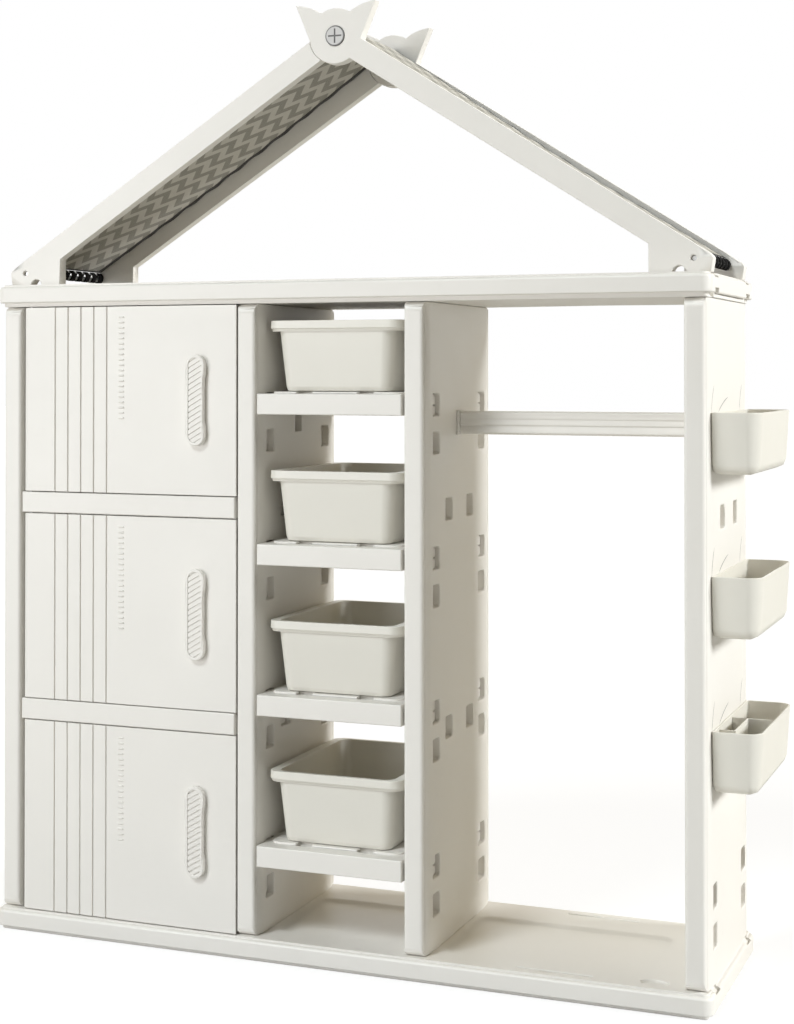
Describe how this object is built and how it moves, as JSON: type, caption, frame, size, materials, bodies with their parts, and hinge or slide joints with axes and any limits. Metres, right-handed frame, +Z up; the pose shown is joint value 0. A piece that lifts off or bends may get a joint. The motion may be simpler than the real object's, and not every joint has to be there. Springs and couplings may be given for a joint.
{
  "type": "children's wardrobe",
  "caption": "Moulded plastic children's wardrobe: door cupboards, a bay of pull-out bins, a hanging bay with rail, hooked side bins and a house roof with cloth canopy.",
  "frame": {"origin": "on the floor under the centre of the base board", "axes": "+Z up, +X along the front towards the hanging bay, -Y out of the front"},
  "size_m": [1.2648, 0.338, 1.506],
  "materials": {
    "shell": "satin moulded",
    "bins": "satin moulded",
    "steel": "zinc plated",
    "screw": "satin moulded",
    "cloth": "woven two-tone chevron",
    "elastic": "woven elastic"
  },
  "bodies": {
    "cabinet": {"base_board": "shell", "side_panel_left": "shell", "partition_left": "shell", "partition_right": "shell", "side_panel_right": "shell", "cupboard_shelf_lower": "shell", "cupboard_shelf_upper": "shell", "back_panel_bottom": "shell", "back_panel_middle": "shell", "back_panel_top": "shell", "door_catch_bottom": "shell", "door_catch_middle": "shell", "door_catch_top": "shell", "tray_shelf_1": "shell", "tray_shelf_2": "shell", "tray_shelf_3": "shell", "tray_shelf_4": "shell", "hanging_rail": "shell", "rail_flange_left": "shell", "rail_flange_right": "shell", "top_board": "shell", "lock_bar_left": "shell", "lock_bar_right": "shell", "rafter_front_left": "shell", "rafter_front_right": "shell", "rafter_rear_left": "shell", "rafter_rear_right": "shell", "ridge_screw_front": "screw", "ridge_screw_rear": "screw", "ridge_bar": "steel", "ridge_bar_plug_front": "shell", "ridge_bar_plug_rear": "shell", "eave_rod_left": "steel", "eave_rod_right": "steel", "canopy_cloth": "cloth", "elastic_loops_left": "elastic", "elastic_loops_right": "elastic"},
    "door_top": {"door_top": "shell", "handle_top": "shell", "hinge_pin_top": "steel"},
    "door_middle": {"door_middle": "shell", "handle_middle": "shell", "hinge_pin_middle": "steel"},
    "door_bottom": {"door_bottom": "shell", "handle_bottom": "shell", "hinge_pin_bottom": "steel"},
    "bin_1": {"bin_1": "bins"},
    "bin_2": {"bin_2": "bins"},
    "bin_3": {"bin_3": "bins"},
    "bin_4": {"bin_4": "bins"},
    "side_bin_top": {"side_bin_top": "bins"},
    "side_bin_middle": {"side_bin_middle": "bins"},
    "side_bin_bottom": {"side_bin_bottom": "bins"},
    "side_bin_divider": {"side_bin_divider": "bins"}
  },
  "joints": [
    {"name": "door_top_hinge", "type": "hinge", "parent": "cabinet", "child": "door_top", "pos_m": [-0.5425, -0.15, 0.8805], "axis": [0, 0, -1], "range_deg": [0, 100]},
    {"name": "door_middle_hinge", "type": "hinge", "parent": "cabinet", "child": "door_middle", "pos_m": [-0.5425, -0.15, 0.539], "axis": [0, 0, -1], "range_deg": [0, 100]},
    {"name": "door_bottom_hinge", "type": "hinge", "parent": "cabinet", "child": "door_bottom", "pos_m": [-0.5425, -0.15, 0.19375], "axis": [0, 0, -1], "range_deg": [0, 100]},
    {"name": "bin_1_slide", "type": "slide", "parent": "cabinet", "child": "bin_1", "axis": [0, -1, 0], "range_m": [0, 0.25]},
    {"name": "bin_2_slide", "type": "slide", "parent": "cabinet", "child": "bin_2", "axis": [0, -1, 0], "range_m": [0, 0.25]},
    {"name": "bin_3_slide", "type": "slide", "parent": "cabinet", "child": "bin_3", "axis": [0, -1, 0], "range_m": [0, 0.25]},
    {"name": "bin_4_slide", "type": "slide", "parent": "cabinet", "child": "bin_4", "axis": [0, -1, 0], "range_m": [0, 0.25]},
    {"name": "side_bin_top_lift", "type": "slide", "parent": "cabinet", "child": "side_bin_top", "axis": [0, 0, 1], "range_m": [0, 0.026]},
    {"name": "side_bin_middle_lift", "type": "slide", "parent": "cabinet", "child": "side_bin_middle", "axis": [0, 0, 1], "range_m": [0, 0.026]},
    {"name": "side_bin_bottom_lift", "type": "slide", "parent": "cabinet", "child": "side_bin_bottom", "axis": [0, 0, 1], "range_m": [0, 0.026]},
    {"name": "divider_lift", "type": "slide", "parent": "side_bin_bottom", "child": "side_bin_divider", "axis": [0, 0, 1], "range_m": [0, 0.07]}
  ]
}
